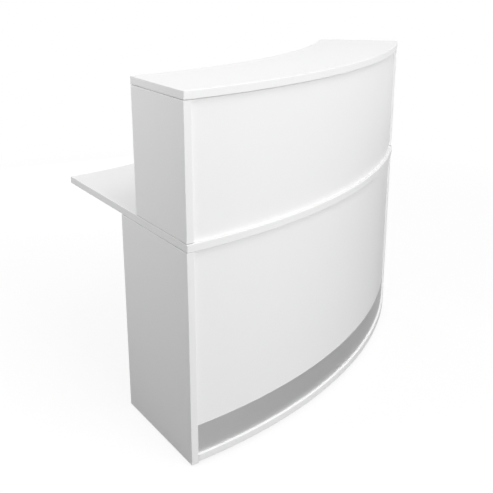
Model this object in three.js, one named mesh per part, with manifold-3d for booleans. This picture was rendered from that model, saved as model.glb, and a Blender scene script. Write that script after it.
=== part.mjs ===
// Curved reception desk: one 45 degree module with a work surface and a raised visitors' counter.
// Millimetres, +Z up, floor at Z = 0, visitors stand on the -Y side.
// Every board is a ring sector about one arc centre, and the end panels stand on its two radial planes.

import * as THREE from "three";
import { mergeVertices } from "three/addons/utils/BufferGeometryUtils.js";
import Module from "manifold-3d";

const wasm = await Module();
wasm.setup();

// Overall form
const SECTOR_DEGREES = 45;
const FRONT_RADIUS = 1885;
const COUNTER_HEIGHT = 1180;
const WORKTOP_HEIGHT = 740;
const COUNTER_DEPTH = 322;
const COUNTER_OVERHANG = 2;
const END_SETBACK = 2.5;
const WORKTOP_DEPTH = 860;
const LOWER_PANEL_DEPTH = 430;

// Boards, edge banding and the clearance between pieces that touch
const BOARD = 25;
const EDGE_ROUND = 2;
const FIT = 0.3;

// Bent front panels, held in grooves of the end panels
const FRONT_PANEL = 8;
const FRONT_RECESS = 12;
const GROOVE_DEPTH = 8;

// Plinth: base board between the end panels, and a bent metal kick plate
const BASE_DEPTH = 130;
const BASE_LIFT = 5;
const KICK_HEIGHT = 100;
const KICK_SHEET = 1;

// Uprights in the middle of the arc
const RIB_DEPTH = 105;
const DIVIDER_SETBACK = 15;

// Levelling feet, each screwed into a bush
const FOOT_LIFT = 5;
const FOOT_DIAMETER = 17;
const FOOT_ROUND = 1.5;
const FOOT_INSET = 45;
const STEM_DIAMETER = 8;
const STEM_HEADROOM = 4;
const BUSH_DIAMETER = 13;
const BUSH_LENGTH = 18;

// Cam connectors: a cam housing in one board grips the head of a bolt screwed into the next
const CAM_DIAMETER = 15;
const CAM_SETBACK = 34;
const CAM_FLOOR = 2;
const DRIVE_LENGTH = 9;
const DRIVE_WIDTH = 1.6;
const DRIVE_DEPTH = 2.4;
const BOLT_SHANK = 7;
const BOLT_NECK = 4.5;
const BOLT_HEAD = 6.5;
const BOLT_HEAD_LENGTH = 4;
const BOLT_THREAD = 5;
const BOLT_THREAD_LENGTH = 11;
const LOWER_CAM_INSET = 70;
const UPPER_CAM_INSET = 95;
const BASE_CAM_INSET = 45;

// Fineness of the facets
const ARC_STEPS = 32;
const ROUND_STEPS = 2;
const FOOT_SIDES = 16;
const CAM_SIDES = 12;
const BOLT_SIDES = 8;

// Levels and radii that follow from the sizes above
const SECTOR = THREE.MathUtils.degToRad(SECTOR_DEGREES);
const QUARTER_TURN = Math.PI / 2;
const PANEL_BOTTOM = FOOT_LIFT;
const BASE_BOTTOM = PANEL_BOTTOM + BASE_LIFT;
const BASE_TOP = BASE_BOTTOM + BOARD;
const WORKTOP_BOTTOM = WORKTOP_HEIGHT - BOARD;
const COUNTER_BOTTOM = COUNTER_HEIGHT - BOARD;
const UPPER_PANEL_DEPTH = COUNTER_DEPTH - COUNTER_OVERHANG;
const END_FRONT_RADIUS = FRONT_RADIUS - END_SETBACK;
const PANEL_FACE_RADIUS = FRONT_RADIUS - FRONT_RECESS;
const PANEL_BACK_RADIUS = PANEL_FACE_RADIUS - FRONT_PANEL;
const UPRIGHT_FRONT_RADIUS = PANEL_BACK_RADIUS - FIT;
const CAM_DEPTH = BOARD / 2 + BOLT_HEAD / 2 + CAM_FLOOR;
const STEM_TOP = BASE_TOP - STEM_HEADROOM;
const PAST = 1; // how far a cutter reaches beyond the face that it opens

// The plan's middle lies half way between the front of the arc and the worktop's back corners.
const BACK_CORNER_REACH = (FRONT_RADIUS - WORKTOP_DEPTH) * Math.cos(SECTOR / 2);
const ARC_CENTRE_Y = (FRONT_RADIUS + BACK_CORNER_REACH) / 2;

// Finishes
const melamine = new THREE.MeshStandardMaterial({ color: 0xf2f2f1, roughness: 0.45 });
const satinFront = new THREE.MeshStandardMaterial({ color: 0xf4f4f4, roughness: 0.3 });
const aluminium = new THREE.MeshStandardMaterial({ color: 0xa9aaab, roughness: 0.4, metalness: 0.9 });
const zinc = new THREE.MeshStandardMaterial({ color: 0xb4b6b8, roughness: 0.35, metalness: 1 });
const steel = new THREE.MeshStandardMaterial({ color: 0x8e9194, roughness: 0.3, metalness: 1 });
const palePlastic = new THREE.MeshStandardMaterial({ color: 0xd8d9da, roughness: 0.6 });

// A closed solid from a geometry: only positions are kept, so that shared corners merge.
function solidOf(geometry) {
  const bare = new THREE.BufferGeometry();
  bare.setAttribute("position", geometry.getAttribute("position"));
  bare.setIndex(geometry.getIndex());
  const merged = mergeVertices(bare);
  return new wasm.Manifold(
    new wasm.Mesh({
      numProp: 3,
      vertProperties: merged.getAttribute("position").array,
      triVerts: new Uint32Array(merged.getIndex().array),
    }),
  );
}

function geometryOf(solid) {
  const { vertProperties, triVerts } = solid.getMesh();
  const geometry = new THREE.BufferGeometry();
  geometry.setAttribute("position", new THREE.BufferAttribute(vertProperties, 3));
  geometry.setIndex(new THREE.BufferAttribute(triVerts, 1));
  geometry.computeVertexNormals();
  return geometry;
}

function cutAway(geometry, cutters) {
  const whole = solidOf(geometry);
  return geometryOf(cutters.reduce((left, cutter) => left.subtract(solidOf(cutter)), whole));
}

function mesh(name, geometry, material) {
  const made = new THREE.Mesh(geometry, material);
  made.name = name;
  return made;
}

// A geometry moved into the frame that holds the given objects, innermost last.
function placed(geometry, ...frames) {
  const matrix = new THREE.Matrix4();
  for (const frame of frames) {
    frame.updateMatrix();
    matrix.multiply(frame.matrix);
  }
  const moved = geometry.clone().applyMatrix4(matrix);
  if (matrix.determinant() < 0) {
    moved.getIndex().array.reverse(); // a mirrored frame turns every facet round
  }
  return moved;
}

// A plan outline between two radii, its ends parallel to the module's end planes and inset from them.
function ringSector(innerRadius, outerRadius, endInset) {
  const reach = (radius) => SECTOR / 2 - Math.asin(endInset / radius);
  const arc = (radius, way) => {
    const half = way * reach(radius);
    shape.absarc(0, 0, radius, -half - QUARTER_TURN, half - QUARTER_TURN, way < 0);
  };
  const shape = new THREE.Shape();
  arc(outerRadius, 1);
  arc(innerRadius, -1);
  shape.closePath();
  return shape;
}

function rectangle(left, right, bottom, top) {
  return new THREE.Shape([
    new THREE.Vector2(left, bottom),
    new THREE.Vector2(right, bottom),
    new THREE.Vector2(right, top),
    new THREE.Vector2(left, top),
  ]);
}

// An outline raised from one level to another with square edges.
function sheet(shape, bottom, top) {
  const settings = { depth: top - bottom, bevelEnabled: false, curveSegments: ARC_STEPS / 2 };
  return new THREE.ExtrudeGeometry(shape, settings).translate(0, 0, bottom);
}

// A board with its banded edges rounded over, all inside the outline.
function bandedBoard(shape, bottom) {
  const settings = {
    depth: BOARD - 2 * EDGE_ROUND,
    bevelThickness: EDGE_ROUND,
    bevelSize: EDGE_ROUND,
    bevelOffset: -EDGE_ROUND,
    bevelSegments: ROUND_STEPS,
    curveSegments: ARC_STEPS / 2,
  };
  return new THREE.ExtrudeGeometry(shape, settings).translate(0, 0, bottom + EDGE_ROUND);
}

// A board standing on a radial plane: its outline runs along Y and Z, its thickness starts at an X.
function standingBoard(frontRadius, depth, bottom, top, startX) {
  const outline = rectangle(-frontRadius, depth - frontRadius, bottom, top);
  const standing = new THREE.Matrix4().makeBasis(
    new THREE.Vector3(0, 1, 0),
    new THREE.Vector3(0, 0, 1),
    new THREE.Vector3(1, 0, 0),
  );
  return bandedBoard(outline, startX).applyMatrix4(standing);
}

// A turned piece on the Z axis, from pairs of radius and height that close on the axis or on themselves.
function turned(profile, sides) {
  const points = profile.map(([radius, height]) => new THREE.Vector2(radius, height));
  return new THREE.LatheGeometry(points, sides).rotateX(QUARTER_TURN);
}

function rod(radius, bottom, top, sides) {
  return turned([[0, bottom], [radius, bottom], [radius, top], [0, top]], sides);
}

function block(sizeX, sizeY, sizeZ, x, y, z) {
  return new THREE.BoxGeometry(sizeX, sizeY, sizeZ).translate(x, y, z);
}

// Cam connector, in its own frame. The bolt lies on Z, and screws into the board whose face is Z = 0.
// The cam housing crosses the bolt along X and opens on the face half a board away.

// The cylinder along X that holds the cam, or the bore round it.
function camBarrel(radius, floorX, faceX) {
  return rod(radius, floorX, faceX, CAM_SIDES).rotateY(QUARTER_TURN).translate(0, 0, CAM_SETBACK);
}

function camHousing() {
  const face = BOARD / 2 - FIT;
  const outside = CAM_DIAMETER / 2 + PAST;
  const headRoom = BOLT_HEAD + 2 * FIT;
  const neckRoom = BOLT_NECK + 2 * FIT;
  const lengthRoom = BOLT_HEAD_LENGTH + 2 * FIT;
  const drive = [face - DRIVE_DEPTH / 2 + PAST / 2, 0, CAM_SETBACK];
  return cutAway(camBarrel(CAM_DIAMETER / 2, face - CAM_DEPTH, face), [
    block(headRoom, headRoom, lengthRoom, 0, 0, CAM_SETBACK),
    block(neckRoom, neckRoom, outside, 0, 0, CAM_SETBACK - outside / 2),
    block(headRoom, outside, lengthRoom, 0, outside / 2, CAM_SETBACK),
    block(DRIVE_DEPTH + PAST, DRIVE_LENGTH, DRIVE_WIDTH, ...drive),
    block(DRIVE_DEPTH + PAST, DRIVE_WIDTH, DRIVE_LENGTH, ...drive),
  ]);
}

function camBolt() {
  const headStart = CAM_SETBACK - BOLT_HEAD_LENGTH / 2;
  const headEnd = CAM_SETBACK + BOLT_HEAD_LENGTH / 2;
  const shankEnd = CAM_SETBACK - CAM_DIAMETER / 2 - FIT - PAST;
  const profile = [
    [0, -BOLT_THREAD_LENGTH],
    [BOLT_THREAD / 2, -BOLT_THREAD_LENGTH],
    [BOLT_THREAD / 2, FIT],
    [BOLT_SHANK / 2, FIT],
    [BOLT_SHANK / 2, shankEnd],
    [BOLT_NECK / 2, shankEnd],
    [BOLT_NECK / 2, headStart],
    [BOLT_HEAD / 2, headStart],
    [BOLT_HEAD / 2, headEnd],
    [0, headEnd],
  ];
  return turned(profile, BOLT_SIDES);
}

// What the connector takes out of the board that holds the cam.
function camBores() {
  const barrel = camBarrel(CAM_DIAMETER / 2 + FIT, BOARD / 2 - FIT - CAM_DEPTH - FIT, BOARD / 2 + PAST);
  return [barrel, rod(BOLT_SHANK / 2 + FIT, -PAST, CAM_SETBACK, BOLT_SIDES)];
}

// What it takes out of the board that the bolt screws into.
function threadBore() {
  return rod(BOLT_THREAD / 2 + FIT, -BOLT_THREAD_LENGTH - FIT, PAST, BOLT_SIDES);
}

const CAM_HOUSING = camHousing();
const CAM_BOLT = camBolt();

// A connector at a place, turned so that its Z points into the board with the cam.
function connector(name, place, turn) {
  const group = new THREE.Group();
  group.position.set(...place);
  group.rotation.set(...turn);
  group.add(mesh(`${name}_cam`, CAM_HOUSING, zinc), mesh(`${name}_bolt`, CAM_BOLT, steel));
  return group;
}

const POINTS_UP = [0, 0, 0];
const POINTS_DOWN = [Math.PI, 0, 0];
const POINTS_INWARD = [0, QUARTER_TURN, 0];

// Levelling foot on the floor below the board that carries its bush.
function levellingFoot() {
  const radius = FOOT_DIAMETER / 2;
  const padTop = FOOT_LIFT - FIT;
  const profile = [
    [0, 0],
    [radius - FOOT_ROUND, 0],
    [radius, FOOT_ROUND],
    [radius, padTop],
    [STEM_DIAMETER / 2, padTop],
    [STEM_DIAMETER / 2, STEM_TOP],
    [0, STEM_TOP],
  ];
  return turned(profile, FOOT_SIDES);
}

function footBush(bottom) {
  const bore = STEM_DIAMETER / 2 + FIT;
  const outside = BUSH_DIAMETER / 2;
  const top = bottom + BUSH_LENGTH;
  const profile = [[bore, bottom], [outside, bottom], [outside, top], [bore, top], [bore, bottom]];
  return turned(profile, FOOT_SIDES);
}

// The stepped bore for a bush and the stem above it.
function footBores(bottom) {
  const bushTop = bottom + BUSH_LENGTH + FIT;
  return [
    rod(BUSH_DIAMETER / 2 + FIT, bottom - PAST, bushTop, FOOT_SIDES),
    rod(STEM_DIAMETER / 2 + FIT, bottom, STEM_TOP + FIT, FOOT_SIDES),
  ];
}

function footWithBush(name, place, boardBottom) {
  const group = new THREE.Group();
  group.position.set(...place);
  const foot = mesh(`${name}_foot`, levellingFoot(), palePlastic);
  const bush = mesh(`${name}_foot_bush`, footBush(boardBottom), steel);
  group.add(foot, bush);
  return group;
}

// One end of the module. In its frame X runs in from the outer face and -Y runs out to the front edge.
function endOfModule(sideName, side) {
  const end = new THREE.Group();
  end.rotation.z = (side * SECTOR) / 2;
  end.scale.x = -side;

  const middle = BOARD / 2;
  const joint = (label, inset, level, turn) =>
    connector(`${label}_${sideName}`, [middle, inset - FRONT_RADIUS, level], turn);
  const underWorktop = [
    joint("worktop_front", LOWER_CAM_INSET, WORKTOP_BOTTOM, POINTS_DOWN),
    joint("worktop_rear", LOWER_PANEL_DEPTH - LOWER_CAM_INSET, WORKTOP_BOTTOM, POINTS_DOWN),
  ];
  const onWorktop = [
    joint("riser_front", UPPER_CAM_INSET, WORKTOP_HEIGHT, POINTS_UP),
    joint("riser_rear", UPPER_PANEL_DEPTH - UPPER_CAM_INSET, WORKTOP_HEIGHT, POINTS_UP),
  ];
  const underCounter = [
    joint("counter_front", UPPER_CAM_INSET, COUNTER_BOTTOM, POINTS_DOWN),
    joint("counter_rear", UPPER_PANEL_DEPTH - UPPER_CAM_INSET, COUNTER_BOTTOM, POINTS_DOWN),
  ];
  const baseJointY = BASE_DEPTH - BASE_CAM_INSET - FRONT_RADIUS;
  const basePlace = [BOARD, baseJointY, BASE_BOTTOM + BOARD / 2];
  const atBase = connector(`base_${sideName}`, basePlace, POINTS_INWARD);
  const foot = (label, inset) =>
    footWithBush(`${label}_${sideName}`, [middle, inset - FRONT_RADIUS, 0], PANEL_BOTTOM);
  const feet = [foot("front", FOOT_INSET), foot("rear", LOWER_PANEL_DEPTH - FOOT_INSET)];

  const lowerTop = WORKTOP_BOTTOM - FIT;
  const lowerDepth = LOWER_PANEL_DEPTH - END_SETBACK;
  const lowerPanel = cutAway(standingBoard(END_FRONT_RADIUS, lowerDepth, PANEL_BOTTOM, lowerTop, 0), [
    frontGroove(PANEL_BOTTOM, lowerTop),
    ...underWorktop.flatMap((at) => camBores().map((bore) => placed(bore, at))),
    ...feet.flatMap((at) => footBores(PANEL_BOTTOM).map((bore) => placed(bore, at))),
    placed(threadBore(), atBase),
  ]);
  const upperBottom = WORKTOP_HEIGHT + FIT;
  const upperTop = COUNTER_BOTTOM - FIT;
  const upperDepth = UPPER_PANEL_DEPTH - END_SETBACK;
  const upperPanel = cutAway(standingBoard(END_FRONT_RADIUS, upperDepth, upperBottom, upperTop, 0), [
    frontGroove(upperBottom, upperTop),
    ...[...onWorktop, ...underCounter].flatMap((at) => camBores().map((bore) => placed(bore, at))),
  ]);
  end.add(
    mesh(`lower_side_panel_${sideName}`, lowerPanel, melamine),
    mesh(`upper_side_panel_${sideName}`, upperPanel, melamine),
    ...underWorktop,
    ...onWorktop,
    ...underCounter,
    atBase,
    ...feet,
  );
  return {
    group: end,
    worktopBores: [...underWorktop, ...onWorktop].map((at) => placed(threadBore(), end, at)),
    counterBores: underCounter.map((at) => placed(threadBore(), end, at)),
    baseBores: camBores().map((bore) => placed(bore, end, atBase)),
  };
}

// The groove in an end panel's inner face follows the bend of the front panel that it holds.
function frontGroove(bottom, top) {
  const corner = (x, radius) => new THREE.Vector2(x, -Math.sqrt(radius * radius - x * x));
  const near = BOARD - GROOVE_DEPTH;
  const far = BOARD + PAST;
  const outer = PANEL_FACE_RADIUS + FIT;
  const inner = PANEL_BACK_RADIUS - FIT;
  const outline = [corner(near, outer), corner(far, outer), corner(far, inner), corner(near, inner)];
  return sheet(new THREE.Shape(outline), bottom - PAST, top + PAST);
}

const ends = [endOfModule("left", -1), endOfModule("right", 1)];

// Middle of the arc: a rib carries the worktop, a divider the counter, and a foot stands under the base.
const DIVIDER_DEPTH = UPPER_PANEL_DEPTH - DIVIDER_SETBACK - (FRONT_RADIUS - UPRIGHT_FRONT_RADIUS);

function upright(depth, bottom, top, joints) {
  const bores = joints.flatMap((at) => camBores().map((bore) => placed(bore, at)));
  return cutAway(standingBoard(UPRIGHT_FRONT_RADIUS, depth, bottom + FIT, top - FIT, -BOARD / 2), bores);
}

const ribY = RIB_DEPTH / 2 - UPRIGHT_FRONT_RADIUS;
const dividerY = DIVIDER_DEPTH / 2 - UPRIGHT_FRONT_RADIUS;
const ribFoot = connector("rib_foot", [0, ribY, BASE_TOP], POINTS_UP);
const ribHead = connector("rib_head", [0, ribY, WORKTOP_BOTTOM], POINTS_DOWN);
const dividerFoot = connector("divider_foot", [0, dividerY, WORKTOP_HEIGHT], POINTS_UP);
const dividerHead = connector("divider_head", [0, dividerY, COUNTER_BOTTOM], POINTS_DOWN);
const centreFoot = footWithBush("centre", [0, FOOT_INSET - FRONT_RADIUS, 0], BASE_BOTTOM);
const rib = upright(RIB_DEPTH, BASE_TOP, WORKTOP_BOTTOM, [ribFoot, ribHead]);
const divider = upright(DIVIDER_DEPTH, WORKTOP_HEIGHT, COUNTER_BOTTOM, [dividerFoot, dividerHead]);

// Horizontal boards
const worktop = cutAway(
  bandedBoard(ringSector(FRONT_RADIUS - WORKTOP_DEPTH, FRONT_RADIUS, 0), WORKTOP_BOTTOM),
  [
    ...ends.flatMap((end) => end.worktopBores),
    ...[ribHead, dividerFoot].map((at) => placed(threadBore(), at)),
  ],
);
const counterTop = cutAway(
  bandedBoard(ringSector(FRONT_RADIUS - COUNTER_DEPTH, FRONT_RADIUS, 0), COUNTER_BOTTOM),
  [...ends.flatMap((end) => end.counterBores), placed(threadBore(), dividerHead)],
);
const baseBoard = cutAway(
  bandedBoard(ringSector(FRONT_RADIUS - BASE_DEPTH, END_FRONT_RADIUS, BOARD + FIT), BASE_BOTTOM),
  [
    ...ends.flatMap((end) => end.baseBores),
    ...footBores(BASE_BOTTOM).map((bore) => placed(bore, centreFoot)),
    placed(threadBore(), ribFoot),
  ],
);

// Bent front panels and the kick plate over the foot of the lower one
const bentPanel = ringSector(PANEL_BACK_RADIUS, PANEL_FACE_RADIUS, BOARD - GROOVE_DEPTH + FIT);
const lowerFront = sheet(bentPanel, BASE_TOP + FIT, WORKTOP_BOTTOM - FIT);
const upperFront = sheet(bentPanel, WORKTOP_HEIGHT + FIT, COUNTER_BOTTOM - FIT);
const kickBack = PANEL_FACE_RADIUS + FIT;
const kickOutline = ringSector(kickBack, kickBack + KICK_SHEET, BOARD + FIT);
const kickPlate = sheet(kickOutline, BASE_TOP + FIT, BASE_TOP + KICK_HEIGHT);

const desk = new THREE.Group();
desk.position.y = ARC_CENTRE_Y;
desk.add(
  mesh("worktop", worktop, melamine),
  mesh("counter_top", counterTop, melamine),
  mesh("base_board", baseBoard, melamine),
  mesh("lower_front_panel", lowerFront, satinFront),
  mesh("upper_front_panel", upperFront, satinFront),
  mesh("kick_plate", kickPlate, aluminium),
  mesh("lower_centre_rib", rib, melamine),
  mesh("upper_centre_divider", divider, melamine),
  ribFoot,
  ribHead,
  dividerFoot,
  dividerHead,
  centreFoot,
  ...ends.map((end) => end.group),
);

const part = new THREE.Group();
part.add(desk);

export default part;
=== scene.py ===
"""Curved white reception desk: the pieces that show, their finishes, the light and the camera.

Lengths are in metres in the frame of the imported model: +Z up, visitors on the -Y side, floor at Z = 0.
"""

import math

import bpy
from mathutils import Matrix, Vector


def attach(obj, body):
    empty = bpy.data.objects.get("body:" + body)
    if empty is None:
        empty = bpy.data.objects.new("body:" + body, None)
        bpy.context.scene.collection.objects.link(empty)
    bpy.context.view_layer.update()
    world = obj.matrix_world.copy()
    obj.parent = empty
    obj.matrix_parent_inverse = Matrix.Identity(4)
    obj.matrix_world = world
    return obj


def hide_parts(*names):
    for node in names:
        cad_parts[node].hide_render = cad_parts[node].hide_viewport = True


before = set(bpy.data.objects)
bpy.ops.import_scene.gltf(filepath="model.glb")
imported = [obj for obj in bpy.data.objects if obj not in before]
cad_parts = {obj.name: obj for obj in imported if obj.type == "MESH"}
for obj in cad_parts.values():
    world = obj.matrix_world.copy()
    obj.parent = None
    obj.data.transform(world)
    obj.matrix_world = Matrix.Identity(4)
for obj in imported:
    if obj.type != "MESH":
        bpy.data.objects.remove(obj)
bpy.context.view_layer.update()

# Sizes of the desk, as in the part's source
MM = 0.001
SECTOR = math.radians(45)
FRONT_RADIUS = 1885 * MM
COUNTER_HEIGHT = 1180 * MM
WORKTOP_HEIGHT = 740 * MM
COUNTER_DEPTH = 322 * MM
UPPER_PANEL_DEPTH = 320 * MM
END_SETBACK = 2.5 * MM
WORKTOP_DEPTH = 860 * MM
LOWER_PANEL_DEPTH = 430 * MM
BOARD = 25 * MM
EDGE_ROUND = 2 * MM
FIT = 0.3 * MM
FRONT_PANEL = 8 * MM
FRONT_RECESS = 12 * MM
GROOVE_DEPTH = 8 * MM
BASE_DEPTH = 130 * MM
BASE_LIFT = 5 * MM
KICK_HEIGHT = 100 * MM
KICK_SHEET = 1 * MM
RIB_DEPTH = 105 * MM
DIVIDER_SETBACK = 15 * MM
FOOT_LIFT = 5 * MM
FOOT_RADIUS = 8.5 * MM
FOOT_INSET = 45 * MM
STEM_RADIUS = 4 * MM
STEM_TOP = 31 * MM
BUSH_RADIUS = 6.5 * MM
BUSH_LENGTH = 18 * MM
CAM_RADIUS = 7.5 * MM
CAM_SETBACK = 34 * MM
CAM_DEPTH = 17.75 * MM
LOWER_CAM_INSET = 70 * MM
UPPER_CAM_INSET = 95 * MM
BASE_CAM_INSET = 45 * MM

# Shadow lines below the counter, along the worktop and above a bent panel.
# They are wider than the source's clearance, so that the joints read as dark as on the real desk.
COUNTER_SEAM = 0.8 * MM
WORKTOP_SEAM = 1.6 * MM
PANEL_SEAM = 3.2 * MM

# Levels, radii and the arc centre that follow from them
BASE_BOTTOM = FOOT_LIFT + BASE_LIFT
BASE_TOP = BASE_BOTTOM + BOARD
WORKTOP_BOTTOM = WORKTOP_HEIGHT - BOARD
COUNTER_BOTTOM = COUNTER_HEIGHT - BOARD
END_FRONT = FRONT_RADIUS - END_SETBACK
PANEL_FACE = FRONT_RADIUS - FRONT_RECESS
PANEL_BACK = PANEL_FACE - FRONT_PANEL
UPRIGHT_FRONT = PANEL_BACK - FIT
DIVIDER_DEPTH = UPPER_PANEL_DEPTH - DIVIDER_SETBACK - (FRONT_RADIUS - UPRIGHT_FRONT)
ARC_CENTRE = Vector((0, (FRONT_RADIUS + (FRONT_RADIUS - WORKTOP_DEPTH) * math.cos(SECTOR / 2)) / 2, 0))

# Fineness of the visible curves, and what counts as one point, as a sharp edge and as a smooth one
ARC_STEPS = 96
ROUND_STEPS = 4
EASE_STEPS = 2
BORE_SIDES = 48
WELD = 0.01 * MM
SHARP_EDGE = math.radians(50)
SMOOTH_EDGE = math.radians(30)

LEFT, MIDDLE, RIGHT = -1, 0, 1


# Places on the plan

def plan_turn(side):
    """Turn about the vertical that takes the middle of the arc to an end, or leaves it in the middle."""
    return side * SECTOR / 2


def place(side, inward, radius, height):
    """Point by its place inward from an end's outer face, out from the arc centre and up from the floor."""
    across = inward if side == MIDDLE else -side * inward
    turn = Matrix.Rotation(plan_turn(side), 4, "Z")
    return turn @ Vector((across, -radius, height)) + ARC_CENTRE


# Modelling steps

def begin():
    """Leaves nothing selected, so that the next operator acts on its own piece alone."""
    bpy.ops.object.select_all(action="DESELECT")


def take(piece):
    """Makes one piece the only selected and active one."""
    begin()
    piece.select_set(True)
    bpy.context.view_layer.objects.active = piece
    return piece


def settle(name):
    """Names the new piece and puts its place, turn and size into its mesh."""
    bpy.ops.object.transform_apply(location=True, rotation=True, scale=True)
    bpy.context.object.name = name
    return bpy.context.object


def open_mesh(piece):
    """Opens the piece's mesh with all its edges selected."""
    take(piece)
    bpy.ops.object.mode_set(mode="EDIT")
    bpy.ops.mesh.select_mode(type="EDGE")
    bpy.ops.mesh.select_all(action="SELECT")


def close_mesh():
    """Goes back out of the mesh."""
    bpy.ops.object.mode_set(mode="OBJECT")


def apply_modifier(piece, kind, **settings):
    """Adds a modifier with its settings and puts its result into the mesh."""
    take(piece)
    bpy.ops.object.modifier_add(type=kind)
    modifier = piece.modifiers[-1]
    for key, value in settings.items():
        setattr(modifier, key, value)
    bpy.ops.object.modifier_apply(modifier=modifier.name)


def cut(piece, cutters):
    """Cuts the cutters out of the piece and removes them."""
    for cutter in cutters:
        apply_modifier(piece, "BOOLEAN", operation="DIFFERENCE", solver="EXACT", object=cutter)
        bpy.data.objects.remove(cutter)


def open_edges(piece, test):
    """Opens the mesh with those edges selected whose two ends pass the test."""
    open_mesh(piece)
    bpy.ops.mesh.select_all(action="DESELECT")
    close_mesh()
    corners = piece.data.vertices
    for corner in corners:
        corner.select = test(corner.co)
    for edge in piece.data.edges:
        edge.select = all(corners[index].select for index in edge.vertices)
    bpy.ops.object.mode_set(mode="EDIT")


def round_edges(piece, radius, steps=ROUND_STEPS):
    """Rounds every sharp edge of the piece."""
    open_mesh(piece)
    bpy.ops.mesh.select_all(action="DESELECT")
    bpy.ops.mesh.edges_select_sharp(sharpness=SHARP_EDGE)
    bpy.ops.mesh.bevel(offset=radius, segments=steps, affect="EDGES")
    close_mesh()


def ring(name, inner, outer, bottom, top, end_inset=0.0):
    """Solid between two radii and two levels, spun round the arc centre and cut parallel to the ends."""
    start = plan_turn(LEFT)
    begin()
    bpy.ops.mesh.primitive_plane_add(
        size=1,
        location=place(LEFT, 0, (inner + outer) / 2, (bottom + top) / 2),
        rotation=(0, math.pi / 2, start),
    )
    bpy.context.object.scale = (top - bottom, outer - inner, 1)
    piece = settle(name)
    open_mesh(piece)
    bpy.ops.mesh.spin(steps=ARC_STEPS, angle=-SECTOR, center=ARC_CENTRE, axis=(0, 0, 1))
    bpy.ops.mesh.select_all(action="SELECT")
    bpy.ops.mesh.remove_doubles(threshold=WELD)
    for side in (LEFT, RIGHT) if end_inset else ():
        bpy.ops.mesh.select_all(action="SELECT")
        bpy.ops.mesh.bisect(
            plane_co=place(side, end_inset, outer, 0),
            plane_no=Matrix.Rotation(plan_turn(side), 3, "Z") @ Vector((side, 0, 0)),
            use_fill=True,
            clear_outer=True,
        )
    bpy.ops.mesh.select_all(action="SELECT")
    bpy.ops.mesh.normals_make_consistent(inside=False)
    close_mesh()
    return piece


def standing_board(name, side, front, depth, bottom, top):
    """Board on a radial plane: against the end plane, or astride the middle of the arc."""
    begin()
    bpy.ops.mesh.primitive_cube_add(
        size=1,
        location=place(side, BOARD / 2 if side else 0, front - depth / 2, (bottom + top) / 2),
        rotation=(0, 0, plan_turn(side)),
        scale=(BOARD, depth, top - bottom),
    )
    piece = settle(name)
    round_edges(piece, EDGE_ROUND)
    return piece


def cylinder(name, radius, length, centre, sides=BORE_SIDES):
    """Upright cylinder, or a prism where it has few sides."""
    begin()
    bpy.ops.mesh.primitive_cylinder_add(vertices=sides, radius=radius, depth=length, location=centre)
    return settle(name)


def copies(piece, names, places):
    """The piece itself and its copies, each mesh moved to its own place."""
    made = [piece]
    for _ in names[1:]:
        take(piece)
        bpy.ops.object.duplicate(linked=False)
        made.append(bpy.context.object)
    for each, name, matrix in zip(made, names, places):
        each.name = name
        take(each)
        each.matrix_world = matrix
        bpy.ops.object.transform_apply(location=True, rotation=True, scale=True)
    return made


# Finishes

def linear(hex_colour):
    """sRGB hex, such as F2F2F0, as linear RGBA."""
    channels = [int(hex_colour[i : i + 2], 16) / 255 for i in (0, 2, 4)]
    return [c / 12.92 if c <= 0.04045 else ((c + 0.055) / 1.055) ** 2.4 for c in channels] + [1.0]


def add(material, kind, settings=(), **sockets):
    """Adds a node with its settings.

    A socket is named, or numbered as in _0, and takes a value, or another node's output as a link.
    """
    node = material.node_tree.nodes.new(kind)
    for key, value in dict(settings).items():
        setattr(node, key, value)
    for name, value in sockets.items():
        key = int(name[1:]) if name[1:].isdigit() else name.replace("_", " ")
        socket = node.inputs[key]
        if isinstance(value, bpy.types.NodeSocket):
            material.node_tree.links.new(value, socket)
        else:
            socket.default_value = value
    return node


def finish(name, **sockets):
    """A new material and its main shader, with plain values set on the shader's own sockets."""
    material = bpy.data.materials.new(name)
    material.use_nodes = True
    shader = material.node_tree.nodes["Principled BSDF"]
    for key, value in sockets.items():
        shader.inputs[key.replace("_", " ")].default_value = value
    return material, shader


def wire(material, output, socket):
    """Links a node's output to another node's socket."""
    material.node_tree.links.new(output, socket)


def melamine_board():
    """Melamine-faced chipboard, pressed with a fine pearl structure: a satin white with a broken highlight.

    The real pearl is about 0.5 mm across, too fine to show here, so it is drawn at 3 mm and shallow.
    """
    material, shader = finish("white_melamine", Base_Color=linear("EFEFEF"), IOR=1.5)
    where = add(material, "ShaderNodeTexCoord")
    pearl = add(
        material, "ShaderNodeTexNoise", Vector=where.outputs["Object"], Scale=1 / (3 * MM), Detail=3.0
    )
    bump = add(material, "ShaderNodeBump", Strength=0.06, Distance=0.15 * MM, Height=pearl.outputs["Fac"])
    wire(material, bump.outputs["Normal"], shader.inputs["Normal"])
    rough = add(material, "ShaderNodeMapRange", Value=pearl.outputs["Fac"], To_Min=0.4, To_Max=0.52)
    wire(material, rough.outputs["Result"], shader.inputs["Roughness"])
    return material


def abs_edging():
    """ABS edge band, extruded and buffed after trimming: smoother than the board's face."""
    material, shader = finish("white_abs_edging", Base_Color=linear("EFEFEF"), IOR=1.53)
    where = add(material, "ShaderNodeTexCoord")
    draw = add(
        material, "ShaderNodeTexNoise", Vector=where.outputs["Object"], Scale=1 / (6 * MM), Detail=1.0
    )
    rough = add(material, "ShaderNodeMapRange", Value=draw.outputs["Fac"], To_Min=0.32, To_Max=0.4)
    wire(material, rough.outputs["Result"], shader.inputs["Roughness"])
    return material


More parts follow.
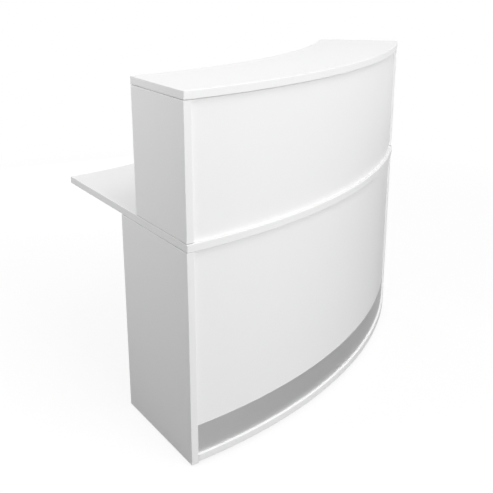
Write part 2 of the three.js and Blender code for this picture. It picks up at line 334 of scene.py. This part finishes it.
def bent_laminate():
    """Satin white laminate pressed on a bent panel: a clear soft reflection with a slight waviness."""
    material, shader = finish("white_bent_laminate", Base_Color=linear("F0F0F0"), IOR=1.5)
    where = add(material, "ShaderNodeTexCoord")
    wave = add(
        material, "ShaderNodeTexNoise", Vector=where.outputs["Object"], Scale=1 / (60 * MM), Detail=1.0
    )
    bump = add(material, "ShaderNodeBump", Strength=0.05, Distance=0.2 * MM, Height=wave.outputs["Fac"])
    wire(material, bump.outputs["Normal"], shader.inputs["Normal"])
    rough = add(material, "ShaderNodeMapRange", Value=wave.outputs["Fac"], To_Min=0.35, To_Max=0.42)
    wire(material, rough.outputs["Result"], shader.inputs["Roughness"])
    return material


BRUSH_LENGTH = 1000 / 3 * MM
BRUSH_SPACING = 1.2 * MM


def satin_aluminium():
    """Anodised aluminium sheet, brushed along its length: a soft grey sheen, drawn out across the brushing.

    Real brush lines are about 0.1 mm apart, too fine to show here, so they are drawn coarser.
    """
    material, shader = finish("satin_anodised_aluminium", Metallic=1.0)
    where = add(material, "ShaderNodeTexCoord")
    stretch = add(
        material, "ShaderNodeMapping", Vector=where.outputs["Object"],
        Scale=(1 / BRUSH_LENGTH, 1 / BRUSH_LENGTH, 1 / BRUSH_SPACING),
    )
    brush = add(material, "ShaderNodeTexNoise", Vector=stretch.outputs["Vector"], Scale=1.0, Detail=4.0)
    tone = add(
        material, "ShaderNodeMix", {"data_type": "RGBA"},
        Factor=brush.outputs["Fac"], _6=linear("D3D3D3"), _7=linear("DBDBDB"),
    )
    wire(material, tone.outputs[2], shader.inputs["Base Color"])
    rough = add(material, "ShaderNodeMapRange", Value=brush.outputs["Fac"], To_Min=0.4, To_Max=0.5)
    wire(material, rough.outputs["Result"], shader.inputs["Roughness"])
    bump = add(material, "ShaderNodeBump", Strength=0.06, Distance=0.05 * MM, Height=brush.outputs["Fac"])
    wire(material, bump.outputs["Normal"], shader.inputs["Normal"])
    return material


def cast_zinc():
    """Die-cast zinc, nickel plated: bright with a faint casting skin."""
    material, shader = finish("nickelled_zinc", Base_Color=linear("C9C8C4"), Metallic=1.0)
    where = add(material, "ShaderNodeTexCoord")
    skin = add(
        material, "ShaderNodeTexNoise", Vector=where.outputs["Object"], Scale=1 / (1.5 * MM), Detail=2.0
    )
    bump = add(material, "ShaderNodeBump", Strength=0.2, Distance=0.05 * MM, Height=skin.outputs["Fac"])
    wire(material, bump.outputs["Normal"], shader.inputs["Normal"])
    rough = add(material, "ShaderNodeMapRange", Value=skin.outputs["Fac"], To_Min=0.24, To_Max=0.4)
    wire(material, rough.outputs["Result"], shader.inputs["Roughness"])
    return material


LATHE_LENGTH = 1000 / 60 * MM
LATHE_SPACING = 0.6 * MM


def plated_steel():
    """Turned steel, bright zinc plated, with fine lathe marks that break the shine into bands."""
    material, shader = finish("zinc_plated_steel", Base_Color=linear("B9BCC0"), Metallic=1.0)
    where = add(material, "ShaderNodeTexCoord")
    stretch = add(
        material, "ShaderNodeMapping", Vector=where.outputs["Object"],
        Scale=(1 / LATHE_LENGTH, 1 / LATHE_LENGTH, 1 / LATHE_SPACING),
    )
    marks = add(material, "ShaderNodeTexNoise", Vector=stretch.outputs["Vector"], Scale=1.0, Detail=2.0)
    rough = add(material, "ShaderNodeMapRange", Value=marks.outputs["Fac"], To_Min=0.24, To_Max=0.42)
    wire(material, rough.outputs["Result"], shader.inputs["Roughness"])
    return material


def moulded_plastic():
    """White polypropylene, moulded with a fine spark-eroded grain: a dull, slightly waxy sheen."""
    material, shader = finish("white_polypropylene", Base_Color=linear("DCDDDD"), Roughness=0.5, IOR=1.49)
    where = add(material, "ShaderNodeTexCoord")
    grain = add(
        material, "ShaderNodeTexNoise", Vector=where.outputs["Object"], Scale=1 / (0.5 * MM), Detail=2.0
    )
    bump = add(material, "ShaderNodeBump", Strength=0.3, Distance=0.04 * MM, Height=grain.outputs["Fac"])
    wire(material, bump.outputs["Normal"], shader.inputs["Normal"])
    return material


MELAMINE = melamine_board()
EDGING = abs_edging()
LAMINATE = bent_laminate()
ALUMINIUM = satin_aluminium()
ZINC = cast_zinc()
STEEL = plated_steel()
PLASTIC = moulded_plastic()

# How squarely a face looks across a board's thickness to count as the board's face and not its edge,
# and how far large faces set the shading of the roundings beside them
FLAT_FACE = 0.999
FACE_WEIGHT = 100


def complete(piece, body, nodes, materials, across=None):
    """Gives a piece its finish, body, slot and the nodes that it stands for.

    On a board, faces that look across its thickness take the first finish and its edges the second.
    """
    for material in materials:
        piece.data.materials.append(material)
    if across is not None:
        for face in piece.data.polygons:
            face.material_index = 0 if abs(face.normal.dot(across)) > FLAT_FACE else 1
    take(piece)
    bpy.ops.object.shade_smooth_by_angle(angle=SMOOTH_EDGE)
    apply_modifier(piece, "WEIGHTED_NORMAL", keep_sharp=True, weight=FACE_WEIGHT)
    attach(piece, body)
    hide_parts(*nodes)


# Cam connectors. Each is given by the start of its nodes' names, its end, the bolt's place inward and out
# from the arc centre, the level of the joint, and the way from the joint to the cam.

UP, DOWN, INWARD = "up", "down", "inward"


def end_connectors(side, name):
    """Connectors of one end, by the board that their cams sit in."""
    middle = BOARD / 2
    front_low = FRONT_RADIUS - LOWER_CAM_INSET
    rear_low = FRONT_RADIUS - LOWER_PANEL_DEPTH + LOWER_CAM_INSET
    front_high = FRONT_RADIUS - UPPER_CAM_INSET
    rear_high = FRONT_RADIUS - UPPER_PANEL_DEPTH + UPPER_CAM_INSET
    rear_base = FRONT_RADIUS - BASE_DEPTH + BASE_CAM_INSET
    return {
        "lower": [
            (f"worktop_front_{name}", side, middle, front_low, WORKTOP_BOTTOM, DOWN),
            (f"worktop_rear_{name}", side, middle, rear_low, WORKTOP_BOTTOM, DOWN),
        ],
        "upper": [
            (f"riser_front_{name}", side, middle, front_high, WORKTOP_HEIGHT, UP),
            (f"riser_rear_{name}", side, middle, rear_high, WORKTOP_HEIGHT, UP),
            (f"counter_front_{name}", side, middle, front_high, COUNTER_BOTTOM, DOWN),
            (f"counter_rear_{name}", side, middle, rear_high, COUNTER_BOTTOM, DOWN),
        ],
        "base": [
            (f"base_{name}", side, BOARD, rear_base, BASE_BOTTOM + BOARD / 2, INWARD),
        ],
    }


CONNECTORS = {LEFT: end_connectors(LEFT, "left"), RIGHT: end_connectors(RIGHT, "right")}
RIB_RADIUS = UPRIGHT_FRONT - RIB_DEPTH / 2
DIVIDER_RADIUS = UPRIGHT_FRONT - DIVIDER_DEPTH / 2
RIB_CONNECTORS = [
    ("rib_foot", MIDDLE, 0, RIB_RADIUS, BASE_TOP, UP),
    ("rib_head", MIDDLE, 0, RIB_RADIUS, WORKTOP_BOTTOM, DOWN),
]
DIVIDER_CONNECTORS = [
    ("divider_foot", MIDDLE, 0, DIVIDER_RADIUS, WORKTOP_HEIGHT, UP),
    ("divider_head", MIDDLE, 0, DIVIDER_RADIUS, COUNTER_BOTTOM, DOWN),
]


def cam_matrix(connector):
    """Frame of a cam: from the middle of its board's thickness, +Z out of the face that it opens on."""
    _, side, inward, radius, level, way = connector
    spin = Matrix.Rotation(plan_turn(side), 4, "Z")
    mirror = Matrix.Rotation(math.pi, 4, "Z") if side == RIGHT else Matrix.Identity(4)
    if way == INWARD:
        centre = place(side, inward + CAM_SETBACK, radius, level)
        turn = Matrix.Rotation(math.pi, 4, "X")
    else:
        centre = place(side, inward, radius, level + CAM_SETBACK * (1 if way == UP else -1))
        turn = Matrix.Rotation(math.pi / 2, 4, "Y") @ Matrix.Rotation(math.pi if way == UP else 0, 4, "Z")
    return Matrix.Translation(centre) @ spin @ mirror @ turn


def cam_bore(connector):
    """Cutter for the pocket that a cam sits in."""
    pocket = CAM_DEPTH + 2 * FIT
    bore = cylinder("cutter", CAM_RADIUS + FIT, pocket + BOARD, (0, 0, BOARD - pocket / 2))
    bore.matrix_world = cam_matrix(connector)
    return bore


def foot_bores(centre, bottom):
    """Cutters for the stepped hole of a foot's bush and of the stem above it, from below the board."""
    cutters = []
    for radius, top in ((BUSH_RADIUS, bottom + BUSH_LENGTH), (STEM_RADIUS, STEM_TOP)):
        middle = Vector((centre.x, centre.y, top + FIT - BOARD))
        cutters.append(cylinder("cutter", radius + FIT, 2 * BOARD, middle))
    return cutters


def groove(bottom, top):
    """Cutter for the grooves that take a bent panel's edges."""
    reach = BOARD - GROOVE_DEPTH
    return ring("cutter", PANEL_BACK - FIT, PANEL_FACE + FIT, bottom - BOARD, top + BOARD, reach)


FEET = {
    "front_left": place(LEFT, BOARD / 2, FRONT_RADIUS - FOOT_INSET, 0),
    "rear_left": place(LEFT, BOARD / 2, FRONT_RADIUS - LOWER_PANEL_DEPTH + FOOT_INSET, 0),
    "front_right": place(RIGHT, BOARD / 2, FRONT_RADIUS - FOOT_INSET, 0),
    "rear_right": place(RIGHT, BOARD / 2, FRONT_RADIUS - LOWER_PANEL_DEPTH + FOOT_INSET, 0),
    "centre": place(MIDDLE, 0, FRONT_RADIUS - FOOT_INSET, 0),
}


# End panels

def end_panels(side, name):
    """The lower and the upper panel of one end."""
    across = Matrix.Rotation(plan_turn(side), 3, "Z") @ Vector((1, 0, 0))
    lower_top = WORKTOP_BOTTOM - WORKTOP_SEAM
    lower_depth = LOWER_PANEL_DEPTH - END_SETBACK
    lower = standing_board(f"lower_end_{name}", side, END_FRONT, lower_depth, FOOT_LIFT, lower_top)
    cut(lower, [groove(FOOT_LIFT, lower_top)])
    cut(lower, [cam_bore(c) for c in CONNECTORS[side]["lower"]])
    for at in ("front", "rear"):
        cut(lower, foot_bores(FEET[f"{at}_{name}"], FOOT_LIFT))
    complete(lower, "desk", [f"lower_side_panel_{name}"], [MELAMINE, EDGING], across)

    bottom, top = WORKTOP_HEIGHT + WORKTOP_SEAM, COUNTER_BOTTOM - COUNTER_SEAM
    upper_depth = UPPER_PANEL_DEPTH - END_SETBACK
    upper = standing_board(f"upper_end_{name}", side, END_FRONT, upper_depth, bottom, top)
    cut(upper, [groove(bottom, top)])
    cut(upper, [cam_bore(c) for c in CONNECTORS[side]["upper"]])
    complete(upper, "desk", [f"upper_side_panel_{name}"], [MELAMINE, EDGING], across)


end_panels(LEFT, "left")
end_panels(RIGHT, "right")


# Boards that follow the arc

VERTICAL = Vector((0, 0, 1))


def arc_board(name, front, depth, bottom, node, end_inset=0.0, cutters=()):
    """Board that follows the arc, its depth counted from the desk's front."""
    board = ring(name, FRONT_RADIUS - depth, front, bottom, bottom + BOARD, end_inset)
    round_edges(board, EDGE_ROUND)
    cut(board, cutters)
    complete(board, "desk", [node], [MELAMINE, EDGING], VERTICAL)


arc_board("worktop_board", FRONT_RADIUS, WORKTOP_DEPTH, WORKTOP_BOTTOM, "worktop")
arc_board("counter_board", FRONT_RADIUS, COUNTER_DEPTH, COUNTER_BOTTOM, "counter_top")
base_cutters = [cam_bore(c) for side in (LEFT, RIGHT) for c in CONNECTORS[side]["base"]]
base_cutters += foot_bores(FEET["centre"], BASE_BOTTOM)
arc_board("plinth_board", END_FRONT, BASE_DEPTH, BASE_BOTTOM, "base_board", BOARD + FIT, base_cutters)


# Uprights in the middle of the arc

def middle_upright(name, depth, bottom, top, connectors, node):
    """Board that stands in the middle of the arc between two others."""
    board = standing_board(name, MIDDLE, UPRIGHT_FRONT, depth, bottom + FIT, top - FIT)
    cut(board, [cam_bore(c) for c in connectors])
    complete(board, "desk", [node], [MELAMINE, EDGING], Vector((1, 0, 0)))


middle_upright("worktop_rib", RIB_DEPTH, BASE_TOP, WORKTOP_BOTTOM, RIB_CONNECTORS, "lower_centre_rib")
middle_upright(
    "counter_divider", DIVIDER_DEPTH, WORKTOP_HEIGHT, COUNTER_BOTTOM, DIVIDER_CONNECTORS,
    "upper_centre_divider",
)


# Bent panels and kick plate

PANEL_EASE = 0.3 * MM
KICK_EASE = 0.3 * MM
KICK_BACK = PANEL_FACE + FIT


def bent_panel(name, bottom, top, node):
    """Thin panel on the arc, between the grooves of the end panels."""
    panel = ring(name, PANEL_BACK, PANEL_FACE, bottom, top - PANEL_SEAM, BOARD - GROOVE_DEPTH + FIT)
    round_edges(panel, PANEL_EASE, EASE_STEPS)
    complete(panel, "desk", [node], [LAMINATE])


bent_panel("lower_bent_front", BASE_TOP, WORKTOP_BOTTOM, "lower_front_panel")
bent_panel("upper_bent_front", WORKTOP_HEIGHT, COUNTER_BOTTOM, "upper_front_panel")

kick_top = BASE_TOP + KICK_HEIGHT
kick = ring("kick_strip", KICK_BACK, KICK_BACK + KICK_SHEET, BASE_TOP + FIT, kick_top, BOARD + FIT)
round_edges(kick, KICK_EASE, EASE_STEPS)
complete(kick, "desk", ["kick_plate"], [ALUMINIUM])


# Cams: a barrel with a cross recess and a pointer towards its bolt

CROSS_LENGTH = 9 * MM
CROSS_WIDTH = 1.6 * MM
CROSS_DEPTH = 2.4 * MM
POINTER_RADIUS = 1.5 * MM
POINTER_PLACE = (4.6 * MM, 2.6 * MM)
POINTER_HEIGHT = 1 * MM
CAM_EASE = 0.4 * MM


def cam_piece():
    """A cam in its own frame, as cam_matrix gives it."""
    face = BOARD / 2 - FIT
    cam = cylinder("cam", CAM_RADIUS, CAM_DEPTH, (0, 0, face - CAM_DEPTH / 2))
    round_edges(cam, CAM_EASE, EASE_STEPS)
    for size in ((CROSS_LENGTH, CROSS_WIDTH), (CROSS_WIDTH, CROSS_LENGTH)):
        begin()
        bpy.ops.mesh.primitive_cube_add(size=1, location=(0, 0, face), scale=(*size, 2 * CROSS_DEPTH))
        cut(cam, [settle("cutter")])
    cut(cam, [cylinder("cutter", POINTER_RADIUS, POINTER_HEIGHT, (*POINTER_PLACE, face), 3)])
    return cam


ALL_CONNECTORS = [c for side in (LEFT, RIGHT) for group in CONNECTORS[side].values() for c in group]
ALL_CONNECTORS += RIB_CONNECTORS + DIVIDER_CONNECTORS
cam_names = [f"{c[0]}_cam_barrel" for c in ALL_CONNECTORS]
cams = copies(cam_piece(), cam_names, map(cam_matrix, ALL_CONNECTORS))
for cam, connector in zip(cams, ALL_CONNECTORS):
    complete(cam, "desk", [f"{connector[0]}_cam"], [ZINC])

for connector in ALL_CONNECTORS:
    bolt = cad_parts[f"{connector[0]}_bolt"]
    bolt.data.materials.clear()
    bolt.data.materials.append(STEEL)


# Levelling feet: a fluted pad on a threaded stem

PAD_TOP = FOOT_LIFT - FIT
PAD_EASE = 1.2 * MM
PAD_EASE_STEPS = 3
FLUTES = 18
FLUTE_RADIUS = 1 * MM
FLUTE_OUT = FOOT_RADIUS + 0.6 * MM
FLUTE_SIDES = 12
THREAD_PITCH = 1.25 * MM
THREAD_ROOT = 3.4 * MM
THREAD_STEPS = 24
STEM_SINK = 0.5 * MM
# The crest's share of a pitch, and in pitches how far below the pad's top the thread starts and how many
# more it has than the stem shows, so that both its ends are there to cut off
THREAD_CREST = 0.1
THREAD_BELOW = 1.5
THREAD_SPARE = 3


def foot_pad():
    """Round pad with flutes to turn it by."""
    pad = cylinder("pad", FOOT_RADIUS, PAD_TOP, (0, 0, PAD_TOP / 2))
    round_edges(pad, PAD_EASE, PAD_EASE_STEPS)
    flutes = []
    for step in range(FLUTES):
        angle = 2 * math.pi * step / FLUTES
        centre = (FLUTE_OUT * math.cos(angle), FLUTE_OUT * math.sin(angle), PAD_TOP)
        flutes.append(cylinder("cutter", FLUTE_RADIUS, 3 * PAD_TOP, centre, FLUTE_SIDES))
    cut(pad, flutes)
    return pad


def foot_thread():
    """One pitch of the thread's outline, wound up the stem from inside the pad and cut off square."""
    middle = (THREAD_ROOT + STEM_RADIUS) / 2
    start = PAD_TOP - THREAD_BELOW * THREAD_PITCH
    begin()
    bpy.ops.mesh.primitive_plane_add(size=1, location=(middle, 0, start), rotation=(math.pi / 2, 0, 0))
    bpy.context.object.scale = (STEM_RADIUS - THREAD_ROOT, THREAD_PITCH, 1)
    thread = settle("thread")
    open_edges(thread, lambda corner: corner.x < middle)
    bpy.ops.mesh.delete(type="EDGE")
    close_mesh()
    open_edges(thread, lambda corner: corner.x > middle)
    bpy.ops.transform.resize(value=(1, 1, THREAD_CREST), center_override=(STEM_RADIUS, 0, start))
    close_mesh()
    apply_modifier(
        thread,
        "SCREW",
        angle=2 * math.pi,
        screw_offset=THREAD_PITCH,
        iterations=math.ceil((STEM_TOP - PAD_TOP) / THREAD_PITCH) + THREAD_SPARE,
        steps=THREAD_STEPS,
        render_steps=THREAD_STEPS,
    )
    open_mesh(thread)
    bpy.ops.mesh.remove_doubles(threshold=WELD)
    for level, way in ((PAD_TOP - STEM_SINK, -1), (STEM_TOP, 1)):
        bpy.ops.mesh.select_all(action="SELECT")
        bpy.ops.mesh.bisect(
            plane_co=(0, 0, level), plane_no=(0, 0, way), use_fill=True, clear_outer=True, threshold=WELD
        )
    bpy.ops.mesh.select_all(action="SELECT")
    bpy.ops.mesh.remove_doubles(threshold=WELD)
    bpy.ops.mesh.normals_make_consistent(inside=False)
    close_mesh()
    return thread


foot = foot_pad()
foot.data.materials.append(PLASTIC)
thread = foot_thread()
thread.data.materials.append(STEEL)
take(foot)
thread.select_set(True)
bpy.ops.object.join()
foot_names = [f"{name}_levelling_foot" for name in FEET]
foot_places = [Matrix.Translation(at) for at in FEET.values()]
for piece, name in zip(copies(foot, foot_names, foot_places), FEET):
    complete(piece, f"{name}_foot", [f"{name}_foot"], [])
    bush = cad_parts[f"{name}_foot_bush"]
    bush.data.materials.clear()
    bush.data.materials.append(STEEL)


# Floor, light and camera

# How white the floor is near the desk, how far off it starts to whiten, and where it is all white:
# as the camera sees it, and as the metal mirrors it
SEEN_FLOOR = {"To_Min": 0.85, "From_Min": 1.2, "From_Max": 3.5}
MIRRORED_FLOOR = {"To_Min": 0.15, "From_Min": 2.5, "From_Max": 6.0}
FLOOR_SIZE = 60
WHITE = linear("FFFFFF")


def stage_floor():
    """Pale floor, seen as white paper that keeps a faint shadow near the desk."""
    begin()
    bpy.ops.mesh.primitive_plane_add(size=FLOOR_SIZE)
    floor = settle("floor")
    material, bounce = finish("pale_floor", Base_Color=linear("8C8C8C"), Roughness=0.8)
    path = add(material, "ShaderNodeLightPath")
    mirrored = add(
        material, "ShaderNodeMath", {"operation": "MAXIMUM"},
        _0=path.outputs["Is Glossy Ray"], _1=path.outputs["Is Transmission Ray"],
    )
    where = add(material, "ShaderNodeTexCoord")
    reach = add(material, "ShaderNodeVectorMath", {"operation": "LENGTH"}, _0=where.outputs["Object"])
    glow = add(material, "ShaderNodeMapRange", Value=reach.outputs["Value"], **SEEN_FLOOR)
    sheen = add(material, "ShaderNodeMapRange", Value=reach.outputs["Value"], **MIRRORED_FLOOR)
    share = add(
        material, "ShaderNodeMath", {"operation": "MULTIPLY"},
        _0=mirrored.outputs["Value"], _1=sheen.outputs["Result"],
    )
    seen = add(
        material, "ShaderNodeMath", {"operation": "MAXIMUM"},
        _0=path.outputs["Is Camera Ray"], _1=share.outputs["Value"],
    )
    paper = add(material, "ShaderNodeBsdfDiffuse", Color=WHITE)
    white = add(material, "ShaderNodeEmission", Color=WHITE, Strength=1.0)
    shown = add(
        material, "ShaderNodeMixShader",
        _0=glow.outputs["Result"], _1=paper.outputs["BSDF"], _2=white.outputs["Emission"],
    )
    surface = add(
        material, "ShaderNodeMixShader",
        _0=seen.outputs["Value"], _1=bounce.outputs["BSDF"], _2=shown.outputs["Shader"],
    )
    wire(material, surface.outputs["Shader"], material.node_tree.nodes["Material Output"].inputs["Surface"])
    floor.data.materials.append(material)


def studio_world(strength):
    """White surroundings where they are seen or mirrored, and a weak even fill elsewhere."""
    world = bpy.data.worlds.new("studio")
    bpy.context.scene.world = world
    world.use_nodes = True
    path = add(world, "ShaderNodeLightPath")
    mirrored = add(
        world, "ShaderNodeMath", {"operation": "MAXIMUM"},
        _0=path.outputs["Is Glossy Ray"], _1=path.outputs["Is Transmission Ray"],
    )
    share = add(
        world, "ShaderNodeMapRange", Value=mirrored.outputs["Value"], To_Min=strength, To_Max=1.0
    )
    level = add(
        world, "ShaderNodeMath", {"operation": "MAXIMUM"},
        _0=path.outputs["Is Camera Ray"], _1=share.outputs["Result"],
    )
    background = world.node_tree.nodes["Background"]
    background.inputs["Color"].default_value = WHITE
    wire(world, level.outputs["Value"], background.inputs["Strength"])


def softbox(name, aim, bearing, elevation, distance, width, height, power):
    """Area lamp aimed at a point: bearing 0 is the visitors' side, and a negative one is further left."""
    spin = Matrix.Rotation(math.radians(bearing), 4, "Z")
    turn = spin @ Matrix.Rotation(math.radians(90 - elevation), 4, "X")
    begin()
    bpy.ops.object.light_add(type="AREA")
    box = bpy.context.object
    box.name = name
    box.data.shape = "RECTANGLE"
    box.data.size, box.data.size_y = width, height
    box.data.energy = power
    box.matrix_world = Matrix.Translation(aim) @ turn @ Matrix.Translation((0, 0, distance))


DESK_MIDDLE = (0, 0, 0.6)
ABOVE_DESK = (0, 0, 1.5)
LEFT_END = (-0.7, 0, 1.15)
FILL = 0.15

# Each softbox by its name, aim, bearing, elevation, distance, width, height and power in watts
SOFTBOXES = (
    ("front_softbox", ABOVE_DESK, -15, 5, 5, 4, 1.5, 120),
    ("high_front_softbox", DESK_MIDDLE, -10, 45, 8, 5, 7, 203),
    ("top_softbox", DESK_MIDDLE, 0, 90, 3.6, 6, 6, 109),
    ("left_softbox", LEFT_END, -130, 10, 1.8, 1, 1, 18.2),
    ("rear_softbox", DESK_MIDDLE, 145, 0, 3.2, 2, 0.7, 40),
)

stage_floor()
studio_world(FILL)
for lamp in SOFTBOXES:
    softbox(*lamp)

# The camera where the photograph was taken from: its place and turns, and in pixels of the frame its lens
# and the row that its axis meets
CAMERA_PLACE = (-2.3668, -1.6096, 1.5401)
CAMERA_BEARING = math.radians(-56.656)
CAMERA_DIP = math.radians(17.451)
LENS_PIXELS = 785.3
AXIS_ROW = 196.27
FRAME_PIXELS = 493
SENSOR_WIDTH = 36
NEAR_CLIP = 0.01

bpy.ops.object.camera_add(
    location=CAMERA_PLACE,
    rotation=(math.pi / 2 - CAMERA_DIP, 0, CAMERA_BEARING),
)
camera = bpy.context.object
camera.data.sensor_width = SENSOR_WIDTH
camera.data.lens = LENS_PIXELS / FRAME_PIXELS * SENSOR_WIDTH
camera.data.shift_y = (AXIS_ROW - FRAME_PIXELS / 2) / FRAME_PIXELS
camera.data.clip_start = NEAR_CLIP
bpy.context.scene.camera = camera

bpy.context.scene.view_settings.view_transform = "Standard"
